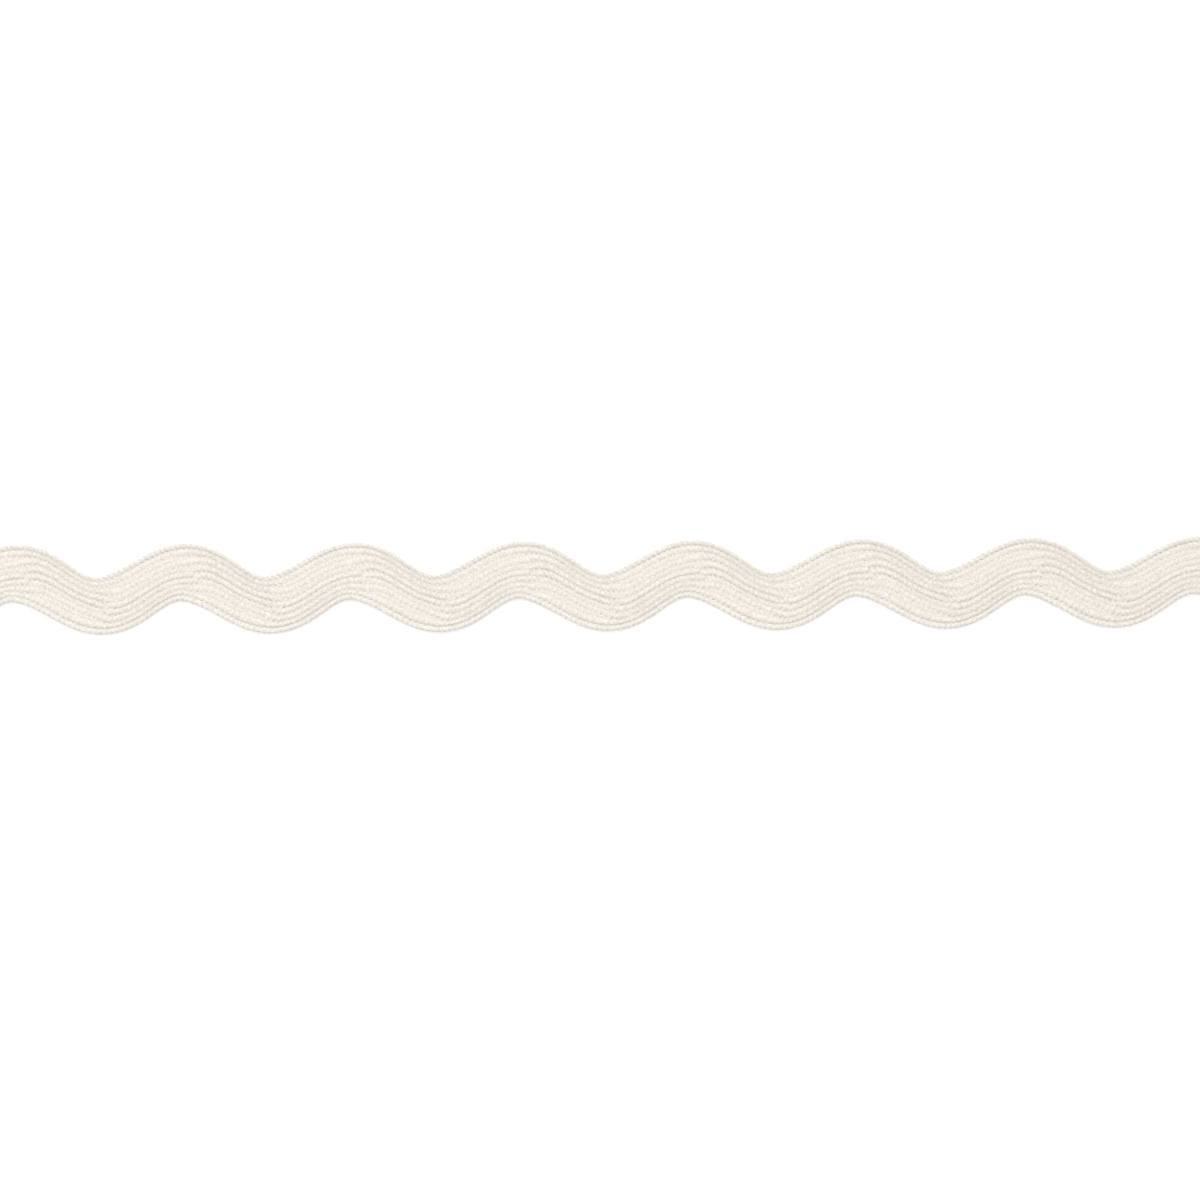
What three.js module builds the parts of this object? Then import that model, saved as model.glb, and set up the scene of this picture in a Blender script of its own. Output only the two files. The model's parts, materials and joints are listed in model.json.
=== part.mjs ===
// A cut length of ric rac: a flat braid of cream cotton yarn that runs in even waves.
//
// Millimetres. X runs along the length, Y across it and Z up from the surface it lies on.
// The origin is on the underside, in the middle of the length and of its overall width.
// The braid is one closed solid with a flat underside. Its upper face carries the ribs that
// bundle together on each flank, the rounded cord along both edges and the flatter ground
// that fills the other half of the width.

import * as THREE from 'three';

// Waves. The band is a little wider at the bends and narrower just after them.
const WAVE_LENGTH = 23.5;
const WAVE_COUNT = 8;
const WAVE_RISE = 4.6;
const BAND_WIDTH = 7.96;
const WIDER_AT_BENDS = 0.14;
const NARROWER_AFTER_BENDS = 0.24;

// Thickness
const GROUND_HEIGHT = 1.05;
const RIB_HEIGHT = 0.15;
const GROUND_RIPPLE = 0.15;
const EDGE_HEIGHT = 0.5;
const SHOULDER_HEIGHT = 0.92;
const CROWN_FULLNESS = 0.35;
const UNDERSIDE_INSET = 0.25;

// Steps of the faces
const STATIONS_PER_WAVE = 16;
const UNDERSIDE_STEPS = 4;
const EDGE_SEARCH_STEPS = 30;

// The braid is 32 lines wide: crowns and grooves fall on the odd lines by turns.
const LINE_COUNT = 32;
const LINES_PER_RIB = 4;
const SHOULDER_LINE = 0.4;

// How the braid changes sides at a bend: how sharply, how much earlier towards the outer
// edge, how late for all lines, and how much longer it keeps the way of a rising flank.
const PLACE_CHANGE = { sharpness: 2.5, lead: 0.4, lag: 0.38, hold: 0.175 };
const RIB_CHANGE = { sharpness: 4, lead: 0.85, lag: 0.35, hold: 0.05 };

// How much more the ribs stand up round the outer side of a bend than halfway across, and
// along the lower edge than halfway across.
const BEND_RELIEF = 0.3;
const LOWER_RELIEF = 0.15;

// Where the lines lie on a flank that falls, as a share of the width from the upper edge.
const FALLING_LINES = [
  { line: 0, share: 0 },
  { line: 2, share: 0.085 },
  { line: 4, share: 0.111 },
  { line: 6, share: 0.166 },
  { line: 8, share: 0.193 },
  { line: 10, share: 0.265 },
  { line: 12, share: 0.293 },
  { line: 14, share: 0.367 },
  { line: 16, share: 0.395 },
  { line: 18, share: 0.47 },
  { line: 20, share: 0.498 },
  { line: 22, share: 0.58 },
  { line: 24, share: 0.674 },
  { line: 26, share: 0.769 },
  { line: 28, share: 0.88 },
  { line: 30, share: 0.912 },
  { line: 32, share: 1 },
];

// How strongly the ribs stand up on a flank that falls: 1 is a full rib, -1 the lower edge cord.
// The ribs nearest the edge and the middle stand up more than those between them.
const FALLING_RIBS = [
  { line: 0, strength: 0.9 },
  { line: 4, strength: 0.7 },
  { line: 7, strength: 0.55 },
  { line: 12, strength: 0.55 },
  { line: 15, strength: 0.85 },
  { line: 19, strength: 0.85 },
  { line: 21, strength: -GROUND_RIPPLE },
  { line: 27, strength: -GROUND_RIPPLE },
  { line: 29, strength: -1 },
  { line: 32, strength: -1 },
];

const LENGTH = WAVE_LENGTH * WAVE_COUNT;
const WAVE_TURN = (2 * Math.PI) / WAVE_LENGTH;

// The value of one column of a table, read between its rows.
function readTable(table, column, line) {
  let row = 1;
  while (row < table.length - 1 && table[row].line < line) {
    row += 1;
  }
  const before = table[row - 1];
  const after = table[row];
  const part = (line - before.line) / (after.line - before.line);
  return THREE.MathUtils.lerp(before[column], after[column], part);
}

function centreHeight(x) {
  return (-WAVE_RISE / 2) * Math.sin(WAVE_TURN * x);
}

function centreSlope(x) {
  return (-WAVE_RISE / 2) * WAVE_TURN * Math.cos(WAVE_TURN * x);
}

// Width of the band, square to its run.
function bandWidth(x) {
  const twice = 2 * WAVE_TURN * x;
  return BAND_WIDTH - WIDER_AT_BENDS * Math.cos(twice) - NARROWER_AFTER_BENDS * Math.sin(twice);
}

// The Y of the band's upper edge (side 1) or lower edge (side -1) above a given X.
// Each edge keeps half the band's width from the centre line, measured square to it.
function edgeY(x, side) {
  let foot = x;
  for (let step = 0; step < EDGE_SEARCH_STEPS; step += 1) {
    const slope = centreSlope(foot);
    foot = x + (side * bandWidth(foot) * slope) / (2 * Math.hypot(1, slope));
  }
  return centreHeight(foot) + (side * bandWidth(foot)) / (2 * Math.hypot(1, centreSlope(foot)));
}

// 1 where the braid behaves as on a falling flank and 0 where it behaves as on a rising one.
function fallingWeight(x, line, change) {
  const side = 1 - (2 * line) / LINE_COUNT;
  const fall = Math.cos(WAVE_TURN * x - change.lag) + change.lead * side;
  return 0.5 + 0.5 * Math.tanh(change.sharpness * (fall - change.hold));
}

// A rising flank is a falling one turned upside down.
function widthShare(x, line) {
  const falling = readTable(FALLING_LINES, 'share', line);
  const rising = 1 - readTable(FALLING_LINES, 'share', LINE_COUNT - line);
  return THREE.MathUtils.lerp(rising, falling, fallingWeight(x, line, PLACE_CHANGE));
}

// The ribs stand up more round the outer side of a bend than round its inner side, and a
// little more towards the lower edge than towards the upper one.
function ribStrength(x, line) {
  const falling = readTable(FALLING_RIBS, 'strength', line);
  const rising = -readTable(FALLING_RIBS, 'strength', LINE_COUNT - line);
  const strength = THREE.MathUtils.lerp(rising, falling, fallingWeight(x, line, RIB_CHANGE));
  const relief = BEND_RELIEF * Math.sin(WAVE_TURN * x) + LOWER_RELIEF;
  return strength * (1 + relief * ((2 * line) / LINE_COUNT - 1));
}

// Height of the upper face: ribs with broad crowns and narrow grooves on a level ground.
function upperHeight(x, line) {
  if (line === 0 || line === LINE_COUNT) {
    return EDGE_HEIGHT;
  }
  if (line < 1 || line > LINE_COUNT - 1) {
    return SHOULDER_HEIGHT;
  }
  const strength = ribStrength(x, line);
  const crown = Math.cos((2 * Math.PI * (line - 1)) / LINES_PER_RIB);
  const fullness = CROWN_FULLNESS * Math.abs(strength) * (1 - crown * crown);
  return GROUND_HEIGHT + RIB_HEIGHT * (strength * crown + fullness);
}

// The lines that the face's points follow, from the upper edge to the lower one.
function upperLines() {
  const lines = [0, SHOULDER_LINE];
  for (let line = 1; line < LINE_COUNT; line += 1) {
    lines.push(line);
  }
  lines.push(LINE_COUNT - SHOULDER_LINE, LINE_COUNT);
  return lines;
}

// One closed section of the braid: over the top to the lower edge and back underneath.
function sectionPoints(x) {
  const upper = edgeY(x, 1);
  const lower = edgeY(x, -1);
  const points = [];
  for (const line of upperLines()) {
    const y = THREE.MathUtils.lerp(upper, lower, widthShare(x, line));
    points.push(new THREE.Vector3(x, y, upperHeight(x, line)));
  }
  for (let step = 0; step < UNDERSIDE_STEPS; step += 1) {
    const share = step / (UNDERSIDE_STEPS - 1);
    const y = THREE.MathUtils.lerp(lower + UNDERSIDE_INSET, upper - UNDERSIDE_INSET, share);
    points.push(new THREE.Vector3(x, y, 0));
  }
  return points;
}

// Joins a row of sections into one closed skin with a flat cut at each end.
function closedSkin(sections) {
  const ring = sections[0].length;
  const faces = [];
  for (let station = 0; station < sections.length - 1; station += 1) {
    for (let point = 0; point < ring; point += 1) {
      const next = (point + 1) % ring;
      const here = station * ring;
      const ahead = here + ring;
      faces.push(here + point, here + next, ahead + point);
      faces.push(here + next, ahead + next, ahead + point);
    }
  }
  const outline = sections[0].map((point) => new THREE.Vector2(point.y, point.z));
  const lastRing = (sections.length - 1) * ring;
  for (const [a, b, c] of THREE.ShapeUtils.triangulateShape(outline, [])) {
    faces.push(a, c, b);
    faces.push(lastRing + a, lastRing + b, lastRing + c);
  }
  const geometry = new THREE.BufferGeometry().setFromPoints(sections.flat());
  geometry.setIndex(faces);
  geometry.computeVertexNormals();
  return geometry;
}

const sections = [];
for (let station = 0; station <= WAVE_COUNT * STATIONS_PER_WAVE; station += 1) {
  const x = -LENGTH / 2 + (station * WAVE_LENGTH) / STATIONS_PER_WAVE;
  sections.push(sectionPoints(x));
}

const creamCotton = new THREE.MeshStandardMaterial({
  color: 0xeee7dc,
  roughness: 0.9,
  metalness: 0,
});

const braid = new THREE.Mesh(closedSkin(sections), creamCotton);
braid.name = 'ric_rac_braid';

const ricRac = new THREE.Group();
ricRac.add(braid);

export default ricRac;
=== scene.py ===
"""A cut length of cream ric rac: a flat braid of 33 cotton yarns that runs in even waves.

The braid lies flat, seen from straight above. Everything is in metres: X runs along the
length, Y across it and Z up from the surface. Each yarn follows its real path: across the
band to one edge, round it and back, over two yarns and under two.
"""

import json
import math

import bpy
from bpy.props import FloatProperty, FloatVectorProperty, IntProperty, PointerProperty
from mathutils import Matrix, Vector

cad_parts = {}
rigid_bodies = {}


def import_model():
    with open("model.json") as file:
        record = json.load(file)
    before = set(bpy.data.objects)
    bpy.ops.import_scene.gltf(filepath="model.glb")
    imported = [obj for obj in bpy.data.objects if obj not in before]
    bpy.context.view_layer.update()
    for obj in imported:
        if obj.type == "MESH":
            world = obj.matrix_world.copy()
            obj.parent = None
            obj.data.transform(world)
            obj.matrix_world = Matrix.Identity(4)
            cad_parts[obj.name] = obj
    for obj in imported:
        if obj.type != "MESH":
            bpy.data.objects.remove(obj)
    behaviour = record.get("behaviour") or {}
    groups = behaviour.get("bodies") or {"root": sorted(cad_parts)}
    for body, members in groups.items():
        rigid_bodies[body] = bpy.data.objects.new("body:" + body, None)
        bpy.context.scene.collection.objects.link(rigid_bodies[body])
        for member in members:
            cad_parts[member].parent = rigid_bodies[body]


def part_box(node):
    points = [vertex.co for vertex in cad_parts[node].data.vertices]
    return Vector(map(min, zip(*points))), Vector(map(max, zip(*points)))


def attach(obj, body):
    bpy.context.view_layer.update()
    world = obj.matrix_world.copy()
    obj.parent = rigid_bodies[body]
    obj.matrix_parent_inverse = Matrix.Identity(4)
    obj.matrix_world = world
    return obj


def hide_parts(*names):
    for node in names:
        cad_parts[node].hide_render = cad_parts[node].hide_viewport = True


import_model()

bl_info = {
    "name": "Ric rac braid",
    "version": (1, 0, 0),
    "blender": (4, 5, 0),
    "location": "3D View > Sidebar > Ric rac",
    "description": "Builds a cut length of wavy flat braid, yarn by yarn",
    "category": "Add Mesh",
}

MM = 0.001
NODE = "ric_rac_braid"
LOW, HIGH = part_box(NODE)
LENGTH, OVERALL_WIDTH, THICKNESS = (HIGH[axis] - LOW[axis] for axis in range(3))
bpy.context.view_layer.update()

# The band swings to and fro by this much, and its width changes a little with each bend.
WAVE_COUNT = 8
WAVE_RISE = 4.6 * MM
BAND_WIDTH = 7.96 * MM
WIDER_AT_BENDS = 0.14 * MM
NARROWER_AFTER_BENDS = 0.24 * MM

# How the braid is laid out: 33 yarns, each over two and under two, make 32 lines across.
YARN_COUNT = 33
LINE_COUNT = 32
LINES_PER_FLOAT = 2
EDGE_TURN = 0.5
YARN_GROUPS = 6

# Where the lines lie on a flank that falls, as a share of the width from the upper edge.
FALLING_LINES = [
    {"line": -0.5, "share": 0.0},
    {"line": 0, "share": 0.004},
    {"line": 0.5, "share": 0.014},
    {"line": 1, "share": 0.028},
    {"line": 1.5, "share": 0.043},
    {"line": 2, "share": 0.06},
    {"line": 4, "share": 0.088},
    {"line": 6, "share": 0.146},
    {"line": 8, "share": 0.175},
    {"line": 10, "share": 0.251},
    {"line": 12, "share": 0.281},
    {"line": 14, "share": 0.359},
    {"line": 16, "share": 0.389},
    {"line": 18, "share": 0.468},
    {"line": 20, "share": 0.498},
    {"line": 22, "share": 0.585},
    {"line": 24, "share": 0.685},
    {"line": 26, "share": 0.785},
    {"line": 28, "share": 0.903},
    {"line": 30, "share": 0.937},
    {"line": 30.5, "share": 0.954},
    {"line": 31, "share": 0.97},
    {"line": 31.5, "share": 0.984},
    {"line": 32, "share": 0.995},
    {"line": 32.5, "share": 1.0},
]

# How strongly the ribs stand up on a flank that falls, as 0.5 for none, 1 for a full rib and
# 0 for the cord along the lower edge.
FALLING_RIBS = [
    {"line": 0, "strength": 0.95},
    {"line": 4, "strength": 0.84},
    {"line": 7, "strength": 0.75},
    {"line": 12, "strength": 0.76},
    {"line": 15, "strength": 0.93},
    {"line": 19, "strength": 0.9},
    {"line": 21, "strength": 0.42},
    {"line": 27, "strength": 0.4},
    {"line": 29, "strength": 0.0},
    {"line": 32, "strength": 0.0},
]

# A yarn's thickness, and the least and greatest width and height that it takes when it
# spreads or is crowded. It fills more than the gap between its neighbours.
YARN_THICKNESS = 0.45 * MM
YARN_WIDTHS = (0.5 * MM, 0.85 * MM)
YARN_HEIGHTS = (0.28 * MM, 0.52 * MM)
GAP_FILL = 1.7
YARN_SIDES = 8
STEPS_PER_WAVE = 165

# How far a float lifts, and its shares: everywhere, more where its direction forms the ribs
# and less where the other one does, and a little more on level ground.
FLOAT_LIFT = 0.3 * MM
LIFT_EVERYWHERE = 0.9
LIFT_ON_RIBS = 0.45
LIFT_ON_LEVEL = 0.1

# How squarely a float rises and falls, and how much longer it is at an edge.
SQUARE_ON_RIBS = 1.8
SQUARER_ON_LEVEL = 0.7
LONGER_AT_EDGE = 0.1

# How far a yarn strays from its path, over what length, and how much steadier it is where it
# rounds an edge. It rounds the edge within so many lines of it.
UNEVENNESS = 0.045 * MM
STRAY_LENGTH = 2.5 * MM
STEADIER_AT_EDGE = 0.75
EDGE_REACH = 1.2

# How far apart the noise is read for each yarn and seed, so that no two are alike.
STRAY_YARN_STEP = 7.0
STRAY_SEED_STEP = 3.0
FIBRE_YARN_STEP = 1.7

# The ribbed cloth under the yarns' outer sides.
CLOTH_INSET = 0.06 * MM
CLOTH_HEIGHT = 0.36 * MM
CLOTH_RIB = 0.13 * MM
CLOTH_ROUND_LINES = 1.5
CLOTH_SECTIONS_PER_WAVE = 32

# Marks of the cotton: fibres along the yarn, its twisted plies, the fuzz over it, and the
# share of the width over which the edge takes a slightly whiter, cooler colour, painted light.
FIBRE_LENGTH = 1.4 * MM
FIBRES_ROUND = 2.5
PLY_LENGTH = 2.2 * MM
PLIES_ROUND = 1.5
FUZZ_SIZE = 0.24 * MM
EDGE_LIGHT_SPAN = 0.09

# How light the cotton is, how much its marks change that, and how much painted shade darkens the
# level ground.
COTTON_SHADE = 0.67
FIBRE_SHADE = 0.1
FUZZ_SHADE = 0.6
LEVEL_PAINTED_SHADE = 0.03

# How much the fibres and the fuzz raise the surface beside the plies, and how far in all.
FIBRE_RELIEF = 0.6
FUZZ_RELIEF = 0.6
RELIEF_STRENGTH = 0.5
RELIEF_DEPTH = 0.06 * MM

# How matt the cotton and the floor are.
ROUGHNESS = 0.9
COTTON_SHEEN = 0.15
COTTON_SHINE = 0.2
FLOOR_SHINE = 0.1

# The photograph's frame, in its own pixels.
FRAME_PIXELS = 1200
PIXELS_PER_WAVE = 168.7
BRAID_MIDDLE_PIXEL = (563.9, 585.6)
BRAID_RISE = math.radians(0.4)
CAMERA_HEIGHT = 0.8
NEAREST_SEEN = 0.01
SENSOR_WIDTH = 36.0

# The floor's half width, and the lamp beyond the braid's upper edge.
FLOOR_HALF = 1.5
LAMP_SIZE = 0.5
LAMP_PLACE = (-0.1, 0.4, 0.55)


class Value:
    """A number that changes over a surface or along a yarn, with ordinary arithmetic."""

    def __init__(self, maker, socket):
        self.maker = maker
        self.socket = socket

    def __add__(self, other):
        return self.maker.math("ADD", self, other)

    def __sub__(self, other):
        return self.maker.math("SUBTRACT", self, other)

    def __mul__(self, other):
        return self.maker.math("MULTIPLY", self, other)

    def __truediv__(self, other):
        return self.maker.math("DIVIDE", self, other)

    def __radd__(self, other):
        return self.maker.math("ADD", other, self)

    def __rsub__(self, other):
        return self.maker.math("SUBTRACT", other, self)

    def __rmul__(self, other):
        return self.maker.math("MULTIPLY", other, self)

    def __rtruediv__(self, other):
        return self.maker.math("DIVIDE", other, self)

    def __neg__(self):
        return self.maker.math("MULTIPLY", self, -1.0)


class Maker:
    """Adds nodes to one tree. `add` makes any node, and the rest are short forms of it."""

    def __init__(self, tree):
        self.tree = tree

    def fill(self, socket, value):
        if isinstance(value, Value):
            value = value.socket
        if isinstance(value, bpy.types.NodeSocket):
            self.tree.links.new(value, socket)
        else:
            socket.default_value = value

    def add(self, kind, settings=None, sockets=None, curve=None):
        node = self.tree.nodes.new(kind)
        for name, value in (settings or {}).items():
            setattr(node, name, value)
        if curve:
            shape = node.mapping.curves[0]
            while len(shape.points) < len(curve):
                shape.points.new(0.5, 0.5)
            for point, place in zip(shape.points, curve):
                point.location = place
                point.handle_type = "VECTOR"
            node.mapping.update()
        for name, value in (sockets or {}).items():
            self.fill(node.inputs[name], value)
        return node

    def out(self, node, name=0):
        return Value(self, node.outputs[name])

    def math(self, operation, *numbers):
        places = dict(enumerate(numbers))
        return self.out(self.add("ShaderNodeMath", {"operation": operation}, places))

    def sine(self, value):
        return self.math("SINE", value)

    def cosine(self, value):
        return self.math("COSINE", value)

    def tanh(self, value):
        return self.math("TANH", value)

    def root(self, value):
        return self.math("SQRT", value)

    def size(self, value):
        return self.math("ABSOLUTE", value)

    def largest(self, value, other):
        return self.math("MAXIMUM", value, other)

    def smallest(self, value, other):
        return self.math("MINIMUM", value, other)

    def clamped(self, value, low, high):
        return self.smallest(self.largest(value, low), high)

    def blend(self, low, high, part):
        return low + (high - low) * part

    def vector(self, x, y, z):
        node = self.add("ShaderNodeCombineXYZ", sockets={"X": x, "Y": y, "Z": z})
        return node.outputs[0]

    def parts(self, vector):
        node = self.add("ShaderNodeSeparateXYZ", sockets={0: vector})
        return [self.out(node, axis) for axis in "XYZ"]

    def vector_math(self, operation, *values):
        node = self.add("ShaderNodeVectorMath", {"operation": operation}, dict(enumerate(values)))
        return node.outputs["Vector"]

    def dot(self, vector, other):
        node = self.add("ShaderNodeVectorMath", {"operation": "DOT_PRODUCT"}, {0: vector, 1: other})
        return self.out(node, "Value")

    def scaled(self, vector, factor):
        places = {0: vector, "Scale": factor}
        return self.add("ShaderNodeVectorMath", {"operation": "SCALE"}, places).outputs["Vector"]

    def table(self, rows, column, line):
        """The value of one column of a table of lines, read between its rows."""
        places = [((row["line"] + EDGE_TURN) / YARN_COUNT, row[column]) for row in rows]
        place = (line + EDGE_TURN) / YARN_COUNT
        return self.out(self.add("ShaderNodeFloatCurve", curve=places, sockets={"Value": place}))

    def capture(self, geometry, fields):
        """Keeps what each named field is worth on this geometry."""
        node = self.add("GeometryNodeCaptureAttribute")
        for name, field in fields.items():
            node.capture_items.new("FLOAT" if isinstance(field, Value) else "VECTOR", name)
            self.fill(node.inputs[name], field)
        self.fill(node.inputs["Geometry"], geometry)
        return node

    def store(self, geometry, name, vector):
        """Stores a vector on the points under a name that the material reads."""
        return self.add("GeometryNodeStoreNamedAttribute", {"data_type": "FLOAT_VECTOR"}, {
            "Geometry": geometry, "Name": name, "Value": vector,
        }).outputs[0]


class PlainNumbers:
    """The functions that BraidShape uses, for plain numbers."""

    sine = staticmethod(math.sin)
    cosine = staticmethod(math.cos)
    tanh = staticmethod(math.tanh)
    root = staticmethod(math.sqrt)

    @staticmethod
    def blend(low, high, part):
        return low + (high - low) * part

    @staticmethod
    def table(rows, column, line):
        for before, after in zip(rows, rows[1:]):
            if line <= after["line"]:
                break
        part = (line - before["line"]) / (after["line"] - before["line"])
        return before[column] + (after[column] - before[column]) * part


class BraidShape:
    """The rules of the braid's shape, for plain numbers or for node sockets alike."""

    # How the braid changes sides at a bend: how sharply, how much earlier towards the outer
    # edge, how late for all lines, and how much longer it keeps the way of a rising flank.
    PLACE_CHANGE = {"sharpness": 2.5, "lead": 0.4, "lag": 0.38, "hold": 0.175}
    RIB_CHANGE = {"sharpness": 6.0, "lead": 0.85, "lag": 0.35, "hold": 0.05}

    # How much more the ribs stand up round the outer side of a bend than halfway across, and
    # along the lower edge than halfway across.
    BEND_RELIEF = 0.3
    LOWER_RELIEF = 0.15

    # Steps in the search for the point of the centre line that a place is square to.
    FOOT_STEPS = 4

    def __init__(self, maker, sizes):
        self.maker = maker
        self.turn = 2 * math.pi / sizes["Wave length"]
        self.rise = sizes["Wave rise"] / 2
        self.band_width = sizes["Band width"]

    def falling_weight(self, x, line, change):
        """1 where the braid behaves as on a falling flank, 0 as on a rising one."""
        side = 1 - line * (2 / LINE_COUNT)
        fall = self.maker.cosine(x * self.turn - change["lag"]) + change["lead"] * side
        return 0.5 + 0.5 * self.maker.tanh(change["sharpness"] * (fall - change["hold"]))

    def share(self, x, line):
        """Share of the width from the upper edge. A rising flank is a falling one upside down."""
        falling = self.maker.table(FALLING_LINES, "share", line)
        rising = 1 - self.maker.table(FALLING_LINES, "share", LINE_COUNT - line)
        falls = self.falling_weight(x, line, self.PLACE_CHANGE)
        return self.maker.blend(rising, falling, falls)

    def rib_strength(self, x, line):
        """Near 1 where the first yarn direction forms ribs, near -1 where the second does.

        The ribs stand up more round the outer side of a bend than round its inner side, and
        a little more towards the lower edge than towards the upper one.
        """
        falling = self.maker.table(FALLING_RIBS, "strength", line)
        rising = 1 - self.maker.table(FALLING_RIBS, "strength", LINE_COUNT - line)
        falls = self.falling_weight(x, line, self.RIB_CHANGE)
        strength = 2 * self.maker.blend(rising, falling, falls) - 1
        relief = self.BEND_RELIEF * self.maker.sine(x * self.turn) + self.LOWER_RELIEF
        return strength * (1 + relief * (line * (2 / LINE_COUNT) - 1))

    def slope(self, x):
        return -self.rise * self.turn * self.maker.cosine(x * self.turn)

    def stretch(self, x):
        """How much longer the centre line is than its run along X."""
        slope = self.slope(x)
        return self.maker.root(1 + slope * slope)

    def width(self, x):
        twice = 2 * x * self.turn
        wider = WIDER_AT_BENDS * self.maker.cosine(twice)
        return self.band_width - wider - NARROWER_AFTER_BENDS * self.maker.sine(twice)

    def on_band(self, x, share, inset):
        """X and Y at a share of the width, measured square to the centre line."""
        foot = x
        for _ in range(self.FOOT_STEPS):
            reach = (1 - 2 * share) * (self.width(foot) / 2 - inset)
            foot = x + reach * self.slope(foot) / self.stretch(foot)
        lean = self.stretch(foot)
        centre = -self.rise * self.maker.sine(foot * self.turn)
        return foot - reach * self.slope(foot) / lean, centre + reach / lean

    def run_length(self, length, steps=1000):
        """Length of the centre line over a straight length, for plain numbers."""
        step = length / steps
        return step * sum(self.stretch((number + 0.5) * step) for number in range(steps))


def plain_shape(settings):
    """The braid's shape in plain numbers."""
    return BraidShape(PlainNumbers, {
        "Wave length": settings.wave_length,
        "Wave rise": settings.wave_rise,
        "Band width": settings.band_width,
    })


def levelness(maker, strength):
    """1 on level ground, 0 on a full rib or cord."""
    return maker.largest(1 - maker.size(strength), 0.0)


def new_tree(name, inputs):
    """An empty Geometry Nodes tree with named inputs: (kind of socket, default) by name."""
    tree = bpy.data.node_groups.new(name, "GeometryNodeTree")
    for label, (kind, default) in inputs.items():
        socket = tree.interface.new_socket(label, in_out="INPUT", socket_type=kind)
        if default is not None:
            socket.default_value = default
    tree.interface.new_socket("Geometry", in_out="OUTPUT", socket_type="NodeSocketGeometry")
    maker = Maker(tree)
    entry = maker.add("NodeGroupInput")
    values = {label: maker.out(entry, label) for label in inputs}
    return tree, maker, values


def plain_mesh(name, tree, values):
    """Runs a tree on an empty mesh and returns its result as an object with a plain mesh."""
    carrier = bpy.data.objects.new(name, bpy.data.meshes.new(name + "_carrier"))
    bpy.context.scene.collection.objects.link(carrier)
    modifier = carrier.modifiers.new("Shape", "NODES")
    modifier.node_group = tree
    for item in tree.interface.items_tree:
        if item.in_out == "INPUT" and item.name in values:
            modifier[item.identifier] = values[item.name]
    graph = bpy.context.evaluated_depsgraph_get()
    graph.update()
    mesh = bpy.data.meshes.new_from_object(carrier.evaluated_get(graph), depsgraph=graph)
    old = carrier.data
    carrier.modifiers.remove(modifier)
    carrier.data = mesh
    bpy.data.meshes.remove(old)
    mesh.name = name
    if not len(mesh.polygons):
        raise RuntimeError(f"{name}: the tree made no faces")
    return carrier


def yarn_lines(maker, value):
    """One straight line of points for each yarn, which keeps each point's X and its yarn."""
    half = value["Length"] / 2
    line = maker.add("GeometryNodeCurvePrimitiveLine", sockets={
        "Start": maker.vector(-half, 0.0, 0.0),
        "End": maker.vector(half, 0.0, 0.0),
    })
    steps = maker.add("GeometryNodeResampleCurve", sockets={
        "Curve": line.outputs[0], "Count": value["Steps"] + 1,
    })
    copies = maker.add("GeometryNodeDuplicateElements", {"domain": "SPLINE"}, {
        "Geometry": steps.outputs[0], "Amount": value["Yarns"],
    })
    along = maker.out(maker.add("GeometryNodeSplineParameter"), "Factor")
    return maker.capture(copies.outputs[0], {
        "Place": (along - 0.5) * value["Length"],
        "Yarn": value["First yarn"] + maker.out(copies, 1),
    })


def yarn_round(maker, value, x, yarn):
    """The line that a yarn is on, and its direction: 1 to the lower edge, -1 on the way back.

    Each yarn is two lines behind the yarn before it.
    """
    half_round = float(YARN_COUNT)
    travel = x * (2 * half_round) / value["Wave length"] + 2 * yarn
    line_across = maker.math("PINGPONG", travel, half_round) - EDGE_TURN
    direction = maker.math("SIGN", maker.sine(travel * (math.pi / half_round)))
    return line_across, direction


def yarn_height(maker, value, line_across, direction, strength):
    """Over two yarns and under two, with a longer float where the yarn rounds an edge."""
    near_upper = maker.largest(LINES_PER_FLOAT - line_across, 0.0)
    near_lower = maker.largest(line_across - (LINE_COUNT - LINES_PER_FLOAT), 0.0)
    longer = LONGER_AT_EDGE * near_upper - LONGER_AT_EDGE * near_lower
    beat = line_across / LINES_PER_FLOAT + longer
    level = levelness(maker, strength)
    squareness = SQUARE_ON_RIBS + SQUARER_ON_LEVEL * level
    wave = maker.tanh(squareness * maker.sine(math.pi * beat)) / maker.tanh(squareness)
    on_ribs = LIFT_EVERYWHERE + LIFT_ON_RIBS * direction * strength
    lift = value["Float lift"] * (on_ribs + LIFT_ON_LEVEL * level)
    return value["Middle height"] + direction * wave * lift


def laid_yarns(maker, value, lines, spot, height, at_edge):
    """Moves the points of the lines onto the braid, each yarn a little off its path."""
    x, yarn = maker.out(lines, "Place"), maker.out(lines, "Yarn")
    stray = maker.add("ShaderNodeTexNoise", {"noise_dimensions": "4D"}, {
        "Vector": maker.vector(x / STRAY_LENGTH, yarn * STRAY_YARN_STEP, 0.0),
        "W": value["Seed"] * STRAY_SEED_STEP,
        "Scale": 1.0,
        "Detail": 1.0,
    })
    stray_x, stray_y, stray_z = maker.parts(stray.outputs["Color"])
    loose = 2 * value["Unevenness"] * (1 - STEADIER_AT_EDGE * at_edge)
    return maker.add("GeometryNodeSetPosition", sockets={
        "Geometry": lines.outputs["Geometry"],
        "Position": maker.vector(
            spot[0] + (stray_x - 0.5) * loose,
            spot[1] + (stray_y - 0.5) * loose,
            height + (stray_z - 0.5) * loose,
        ),
    }).outputs[0]


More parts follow.
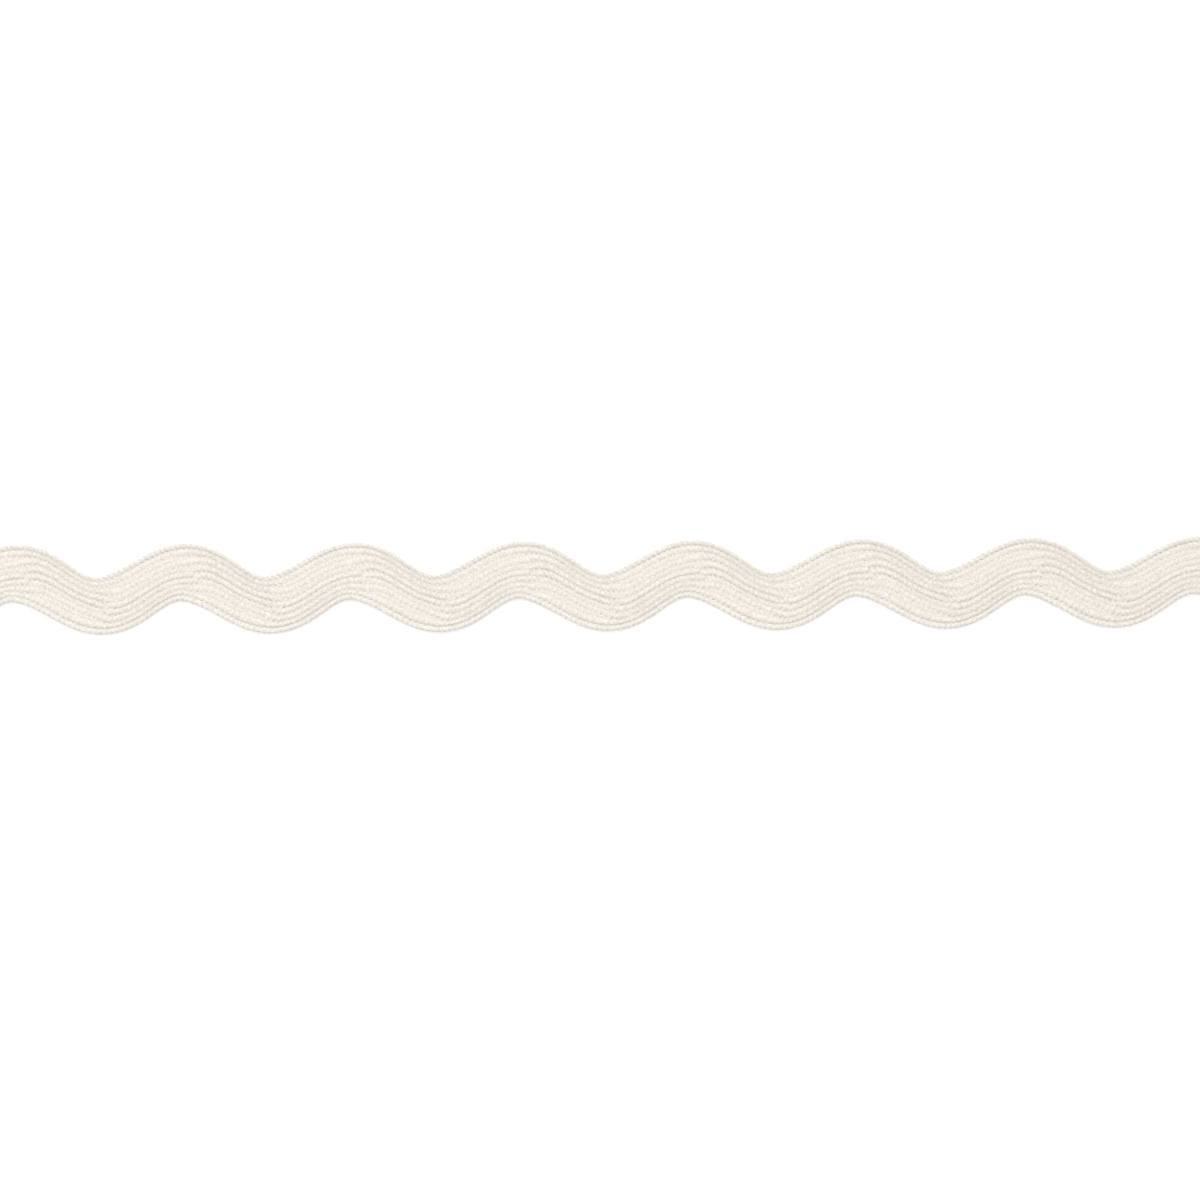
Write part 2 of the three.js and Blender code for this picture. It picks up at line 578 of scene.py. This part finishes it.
def yarn_section(maker, value, shape, x, line_across, at_edge):
    """Width and height of a yarn, which spreads where it has room and bunches up elsewhere."""
    spread = shape.share(x, line_across + 0.5) - shape.share(x, line_across - 0.5)
    tangent = maker.add("GeometryNodeInputTangent").outputs[0]
    run_x, run_y, _ = maker.parts(tangent)
    run = maker.root(run_x * run_x + run_y * run_y)
    gap = 2 * spread * value["Band width"] * shape.stretch(x) * maker.size(run_x) / run
    room = maker.clamped(GAP_FILL * gap, *YARN_WIDTHS)
    wide = maker.blend(room, value["Yarn thickness"], at_edge)
    area = value["Yarn thickness"] * value["Yarn thickness"]
    return wide, maker.clamped(area / wide, *YARN_HEIGHTS)


def yarn_tubes(maker, value, paths, wide, tall, place):
    """Sweeps a round section along the paths and gives it the width and height it has there."""
    tangent = maker.add("GeometryNodeInputTangent").outputs[0]
    sideways = maker.vector_math("NORMALIZE", maker.vector_math("CROSS_PRODUCT", tangent, (0, 0, 1)))
    centre = maker.add("GeometryNodeInputPosition").outputs[0]
    kept = maker.capture(paths, {
        "Middle": centre,
        "Sideways": sideways,
        "Upward": maker.vector_math("CROSS_PRODUCT", sideways, tangent),
        "Wide": wide,
        "Tall": tall,
        "Run": maker.out(maker.add("GeometryNodeSplineParameter"), "Length"),
        "Across": place["share"],
    })
    upright = maker.add("GeometryNodeSetCurveNormal", {"mode": "Z_UP"}, {"Curve": kept.outputs[0]})
    ring = maker.add("GeometryNodeCurvePrimitiveCircle", sockets={
        "Resolution": value["Sides"], "Radius": MM,
    })
    tube = maker.add("GeometryNodeCurveToMesh", sockets={
        "Curve": upright.outputs[0], "Profile Curve": ring.outputs[0], "Fill Caps": True,
    })

    offset = maker.vector_math("SUBTRACT", centre, kept.outputs["Middle"])
    off_side = maker.dot(offset, kept.outputs["Sideways"]) / MM
    off_up = maker.dot(offset, kept.outputs["Upward"]) / MM
    strand = maker.vector(maker.out(kept, "Run"), off_side, off_up)
    marked = maker.store(tube.outputs[0], "strand", strand)
    marked = maker.store(marked, "place", maker.vector(
        maker.out(kept, "Across"), place["yarn"], place["strength"],
    ))
    side_part = maker.scaled(kept.outputs["Sideways"], off_side * maker.out(kept, "Wide") / 2)
    up_part = maker.scaled(kept.outputs["Upward"], off_up * maker.out(kept, "Tall") / 2)
    both = maker.vector_math("ADD", side_part, up_part)
    return maker.add("GeometryNodeSetPosition", sockets={
        "Geometry": marked, "Position": maker.vector_math("ADD", kept.outputs["Middle"], both),
    }).outputs[0]


def yarn_tree():
    """The tree that lays one group of yarns along their paths."""
    tree, maker, value = new_tree("Ric rac yarns", {
        "Length": ("NodeSocketFloat", LENGTH),
        "Wave length": ("NodeSocketFloat", LENGTH / WAVE_COUNT),
        "Wave rise": ("NodeSocketFloat", WAVE_RISE),
        "Band width": ("NodeSocketFloat", BAND_WIDTH),
        "First yarn": ("NodeSocketInt", 0),
        "Yarns": ("NodeSocketInt", 1),
        "Steps": ("NodeSocketInt", WAVE_COUNT * STEPS_PER_WAVE),
        "Sides": ("NodeSocketInt", YARN_SIDES),
        "Middle height": ("NodeSocketFloat", THICKNESS / 2),
        "Float lift": ("NodeSocketFloat", FLOAT_LIFT),
        "Yarn thickness": ("NodeSocketFloat", YARN_THICKNESS),
        "Unevenness": ("NodeSocketFloat", UNEVENNESS),
        "Seed": ("NodeSocketInt", 5),
        "Material": ("NodeSocketMaterial", None),
    })
    shape = BraidShape(maker, value)
    lines = yarn_lines(maker, value)
    x, yarn = maker.out(lines, "Place"), maker.out(lines, "Yarn")
    line_across, direction = yarn_round(maker, value, x, yarn)
    strength = shape.rib_strength(x, line_across)
    height = yarn_height(maker, value, line_across, direction, strength)

    # Across the band, with the yarn's own half width kept inside the edge.
    share = shape.share(x, line_across)
    spot = shape.on_band(x, share, value["Yarn thickness"] / 2)
    from_edge = maker.smallest(line_across + EDGE_TURN, LINE_COUNT + EDGE_TURN - line_across)
    at_edge = maker.clamped(EDGE_REACH - from_edge, 0.0, 1.0)

    paths = laid_yarns(maker, value, lines, spot, height, at_edge)
    wide, tall = yarn_section(maker, value, shape, x, line_across, at_edge)
    place = {"share": share, "yarn": yarn, "strength": strength}
    tubes = yarn_tubes(maker, value, paths, wide, tall, place)
    smooth = maker.add("GeometryNodeSetShadeSmooth", sockets={"Geometry": tubes})
    whole = maker.add("GeometryNodeRealizeInstances", sockets={"Geometry": smooth.outputs[0]})
    coloured = maker.add("GeometryNodeSetMaterial", sockets={
        "Geometry": whole.outputs[0], "Material": value["Material"],
    })
    maker.add("NodeGroupOutput", sockets={"Geometry": coloured.outputs[0]})
    return tree


def new_material(name):
    """An empty material and the maker for its tree."""
    material = bpy.data.materials.new(name)
    material.use_nodes = True
    material.node_tree.nodes.clear()
    return material, Maker(material.node_tree)


def cotton_material(name, colour, edge_light_colour):
    """Matt cotton yarn: streaks of fibre, twisted plies, fuzz, a painted-light edge and painted
    shade.
    """
    material, maker = new_material(name)
    strand = maker.add("ShaderNodeAttribute", {"attribute_name": "strand"}).outputs["Vector"]
    place = maker.add("ShaderNodeAttribute", {"attribute_name": "place"}).outputs["Vector"]
    run, side, up = maker.parts(strand)
    across, yarn, strength = maker.parts(place)

    fibres = maker.out(maker.add("ShaderNodeTexNoise", {"noise_dimensions": "4D"}, {
        "Vector": maker.vector(run / FIBRE_LENGTH, side * FIBRES_ROUND, up * FIBRES_ROUND),
        "W": yarn * FIBRE_YARN_STEP,
        "Scale": 1.0,
        "Detail": 3.0,
        "Roughness": 0.6,
    }))
    fuzz = maker.out(maker.add("ShaderNodeTexNoise", sockets={
        "Vector": maker.add("ShaderNodeTexCoord").outputs["Object"],
        "Scale": 1 / FUZZ_SIZE,
        "Detail": 1.0,
        "Roughness": 0.6,
    }))
    twist = PLIES_ROUND * math.pi * side + run * (math.pi / PLY_LENGTH)
    plies = maker.size(maker.sine(twist))

    from_edge = maker.smallest(across, 1 - across)
    edge_light_part = maker.clamped(1 - from_edge / EDGE_LIGHT_SPAN, 0.0, 1.0)
    # Painted light: near the edges the yarns take the slightly whiter, cooler edge colour.
    tone = maker.add("ShaderNodeMix", {"data_type": "RGBA"}, {
        "Factor": edge_light_part, "A": (*colour, 1.0), "B": (*edge_light_colour, 1.0),
    })
    marks = COTTON_SHADE + FIBRE_SHADE * fibres + FUZZ_SHADE * fuzz
    # Painted shade: the level ground away from the ribs is made a little darker.
    shade = marks - LEVEL_PAINTED_SHADE * levelness(maker, strength)
    relief = plies + FIBRE_RELIEF * fibres + FUZZ_RELIEF * fuzz
    bump = maker.add("ShaderNodeBump", sockets={
        "Strength": RELIEF_STRENGTH, "Distance": RELIEF_DEPTH, "Height": relief,
    })
    shader = maker.add("ShaderNodeBsdfPrincipled", sockets={
        "Base Color": maker.scaled(tone.outputs["Result"], shade),
        "Roughness": ROUGHNESS,
        "Normal": bump.outputs[0],
        "Sheen Weight": COTTON_SHEEN,
        "Specular IOR Level": COTTON_SHINE,
    })
    maker.add("ShaderNodeOutputMaterial", sockets={"Surface": shader.outputs[0]})
    return material


def plain_material(name, colour, glow):
    """One even colour, which may give off a little light."""
    material, maker = new_material(name)
    shader = maker.add("ShaderNodeBsdfPrincipled", sockets={
        "Base Color": (*colour, 1.0),
        "Roughness": ROUGHNESS,
        "Specular IOR Level": FLOOR_SHINE,
        "Emission Color": (*colour, 1.0),
        "Emission Strength": glow,
    })
    maker.add("ShaderNodeOutputMaterial", sockets={"Surface": shader.outputs[0]})
    return material


def mesh_object(name, points, faces):
    mesh = bpy.data.meshes.new(name)
    mesh.from_pydata(points, [], faces)
    mesh.update()
    made = bpy.data.objects.new(name, mesh)
    bpy.context.scene.collection.objects.link(made)
    return made


def cloth_ring(shape, yarn_thickness, x):
    """One closed ring of the cloth, over the top and back underneath, and its places."""
    upper, lower, places = [], [], []
    for step in range(2 * YARN_COUNT + 1):
        line = step / 2 - EDGE_TURN
        share = shape.share(x, line)
        strength = shape.rib_strength(x, line)
        near = min(line + EDGE_TURN, YARN_COUNT - line - EDGE_TURN, CLOTH_ROUND_LINES)
        outward = 1 - near / CLOTH_ROUND_LINES
        inset = shape.maker.blend(yarn_thickness / 2, CLOTH_INSET, outward)
        place_x, place_y = shape.on_band(x, share, inset)
        ripple = CLOTH_RIB * strength * math.cos((line - 1) * math.pi / LINES_PER_FLOAT)
        fullness = math.sqrt(1 - outward ** 2)
        upper.append((place_x, place_y, THICKNESS / 2 + fullness * (CLOTH_HEIGHT + ripple)))
        lower.append((place_x, place_y, THICKNESS / 2 - fullness * (CLOTH_HEIGHT - ripple)))
        places.append((share, 0.0, strength))
    return upper + lower[-2:0:-1], places + places[-2:0:-1]


def ring_faces(sections, ring):
    """Faces that join a row of rings, and one across each end."""
    faces = []
    for section in range(sections):
        for corner in range(ring):
            here = section * ring + corner
            beside = section * ring + (corner + 1) % ring
            faces.append((here, beside, beside + ring, here + ring))
    faces.append(tuple(reversed(range(ring))))
    faces.append(tuple(sections * ring + corner for corner in range(ring)))
    return faces


def lay_floor(settings):
    half = FLOOR_HALF
    floor = mesh_object(
        "floor",
        [(-half, -half, 0), (half, -half, 0), (half, half, 0), (-half, half, 0)],
        [(0, 1, 2, 3)],
    )
    floor.data.materials.append(
        plain_material("Pale floor", settings.floor_colour, settings.floor_glow)
    )


def set_light(scene, settings):
    """Even light from all round, and one large soft lamp beyond the upper edge."""
    world = bpy.data.worlds.new("Even light")
    world.use_nodes = True
    backdrop = world.node_tree.nodes["Background"]
    backdrop.inputs["Color"].default_value = (1, 1, 1, 1)
    backdrop.inputs["Strength"].default_value = settings.sky_strength
    scene.world = world

    key = bpy.data.lights.new("Key light", "AREA")
    key.energy = settings.key_power
    key.size = LAMP_SIZE
    lamp = bpy.data.objects.new("Key light", key)
    lamp.location = LAMP_PLACE
    lamp.rotation_euler = (math.atan2(-LAMP_PLACE[1], LAMP_PLACE[2]), 0, 0)
    scene.collection.objects.link(lamp)


def set_camera(scene):
    """Looks straight down, with the braid where the photograph has it."""
    pixel = scene.ricrac_braid.wave_length / PIXELS_PER_WAVE
    middle = FRAME_PIXELS / 2
    across = (middle - BRAID_MIDDLE_PIXEL[0]) * pixel
    down = (BRAID_MIDDLE_PIXEL[1] - middle) * pixel
    data = bpy.data.cameras.new("Camera")
    data.sensor_width = SENSOR_WIDTH
    data.lens = SENSOR_WIDTH * CAMERA_HEIGHT / (FRAME_PIXELS * pixel)
    data.clip_start = NEAREST_SEEN
    camera = bpy.data.objects.new("Camera", data)
    camera.location = (across, down, CAMERA_HEIGHT)
    camera.rotation_euler = (0, 0, -BRAID_RISE)
    scene.collection.objects.link(camera)
    scene.camera = camera
    scene.view_settings.view_transform = "Standard"


class BraidSettings(bpy.types.PropertyGroup):
    """Sizes and colours of the braid."""

    wave_length: FloatProperty(
        name="Wave length", description="From one crest to the next",
        default=LENGTH / WAVE_COUNT, unit="LENGTH",
    )
    band_width: FloatProperty(
        name="Band width", description="Width of the braid, square to its run",
        default=BAND_WIDTH, unit="LENGTH",
    )
    wave_rise: FloatProperty(
        name="Wave rise", description="How far the middle of the braid swings to and fro",
        default=WAVE_RISE, unit="LENGTH",
    )
    yarn_thickness: FloatProperty(
        name="Yarn thickness", description="Width of a yarn that is neither spread nor crowded",
        default=YARN_THICKNESS, unit="LENGTH",
    )
    steps_per_wave: IntProperty(
        name="Steps per wave", description="Points along each yarn in one wave",
        default=STEPS_PER_WAVE,
    )
    colour: FloatVectorProperty(
        name="Yarn colour", description="Colour of the cotton", subtype="COLOR",
        default=(0.587, 0.548, 0.503), min=0, max=1,
    )
    # Painted light: a slightly whiter, cooler tint for the light the yarns catch where they round
    # the edges.
    edge_light_colour: FloatVectorProperty(
        name="Edge colour", description="Colour of the yarns where they round the edges",
        subtype="COLOR", default=(0.582, 0.553, 0.515), min=0, max=1,
    )


class StageSettings(bpy.types.PropertyGroup):
    """Floor and light."""

    floor_colour: FloatVectorProperty(
        name="Floor colour", description="Colour of the floor", subtype="COLOR",
        default=(0.97, 0.97, 0.97), min=0, max=1,
    )
    floor_glow: FloatProperty(
        name="Floor glow", description="Light that the floor gives, as a light table does",
        default=0.1,
    )
    key_power: FloatProperty(
        name="Key light", description="Power of the large soft light", default=3.5, unit="POWER",
    )
    sky_strength: FloatProperty(
        name="Sky strength", description="Strength of the even light from all round", default=1.08,
    )


class RICRAC_OT_cloth(bpy.types.Operator):
    """Build the ribbed cloth that the yarns make together, just under their outer sides"""

    bl_idname = "ricrac.cloth"
    bl_label = "Build the cloth"

    def execute(self, context):
        settings = context.scene.ricrac_braid
        shape = plain_shape(settings)
        sections = round(LENGTH / settings.wave_length) * CLOTH_SECTIONS_PER_WAVE
        points, places = [], []
        for section in range(sections + 1):
            x = LENGTH * (section / sections - 0.5)
            ring_points, ring_places = cloth_ring(shape, settings.yarn_thickness, x)
            points += ring_points
            places += ring_places
        cloth = mesh_object("braid_cloth", points, ring_faces(sections, len(ring_points)))
        cloth.data.attributes.new("place", "FLOAT_VECTOR", "POINT")
        cloth.data.attributes["place"].data.foreach_set("vector", [n for row in places for n in row])
        cloth.data.shade_smooth()
        cloth.data.materials.append(
            cotton_material("Cream cotton", settings.colour, settings.edge_light_colour)
        )
        return {"FINISHED"}


class RICRAC_OT_yarns(bpy.types.Operator):
    """Lay all the yarns, in groups, along their paths through the braid"""

    bl_idname = "ricrac.yarns"
    bl_label = "Lay the yarns"

    def execute(self, context):
        settings = context.scene.ricrac_braid
        cotton = bpy.data.materials["Cream cotton"]
        tree = yarn_tree()
        waves = round(LENGTH / settings.wave_length)
        ends = [round(YARN_COUNT * group / YARN_GROUPS) for group in range(YARN_GROUPS + 1)]
        for group in range(YARN_GROUPS):
            plain_mesh(f"yarns_{group + 1}", tree, {
                "Length": LENGTH,
                "Wave length": settings.wave_length,
                "Wave rise": settings.wave_rise,
                "Band width": settings.band_width,
                "First yarn": ends[group],
                "Yarns": ends[group + 1] - ends[group],
                "Steps": waves * settings.steps_per_wave,
                "Yarn thickness": settings.yarn_thickness,
                "Middle height": THICKNESS / 2,
                "Material": cotton,
            })
        return {"FINISHED"}


class RICRAC_OT_stage(bpy.types.Operator):
    """Set the plain pale floor, the soft light and the camera"""

    bl_idname = "ricrac.stage"
    bl_label = "Set the stage"

    def execute(self, context):
        settings = context.scene.ricrac_stage
        lay_floor(settings)
        set_light(context.scene, settings)
        set_camera(context.scene)
        return {"FINISHED"}


class RICRAC_PT_sidebar(bpy.types.Panel):
    """Lists the steps that build the braid"""

    bl_idname = "RICRAC_PT_sidebar"
    bl_label = "Ric rac"
    bl_space_type = "VIEW_3D"
    bl_region_type = "UI"
    bl_category = "Ric rac"

    def draw(self, context):
        for step in STEPS:
            self.layout.operator(step.bl_idname)
        for settings in (context.scene.ricrac_braid, context.scene.ricrac_stage):
            for name in settings.bl_rna.properties.keys():
                if name not in ("rna_type", "name"):
                    self.layout.prop(settings, name)


STEPS = (RICRAC_OT_stage, RICRAC_OT_cloth, RICRAC_OT_yarns)
CLASSES = (BraidSettings, StageSettings, *STEPS, RICRAC_PT_sidebar)


def register():
    for item in CLASSES:
        bpy.utils.register_class(item)
    bpy.types.Scene.ricrac_braid = PointerProperty(type=BraidSettings)
    bpy.types.Scene.ricrac_stage = PointerProperty(type=StageSettings)


def unregister():
    del bpy.types.Scene.ricrac_stage
    del bpy.types.Scene.ricrac_braid
    for item in reversed(CLASSES):
        bpy.utils.unregister_class(item)


def declare_pieces():
    """Hides the imported part and tells the frame what body each piece rides on."""
    cloth = bpy.data.objects["braid_cloth"]
    yarns = [bpy.data.objects[f"yarns_{group + 1}"] for group in range(YARN_GROUPS)]
    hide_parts(NODE)
    for piece in (cloth, *yarns):
        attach(piece, "root")
    settings = bpy.context.scene.ricrac_braid
    settings.band_width * plain_shape(settings).run_length(LENGTH)


def main():
    register()
    bpy.ops.ricrac.stage()
    bpy.ops.ricrac.cloth()
    bpy.ops.ricrac.yarns()
    declare_pieces()


if __name__ == "__main__":
    main()
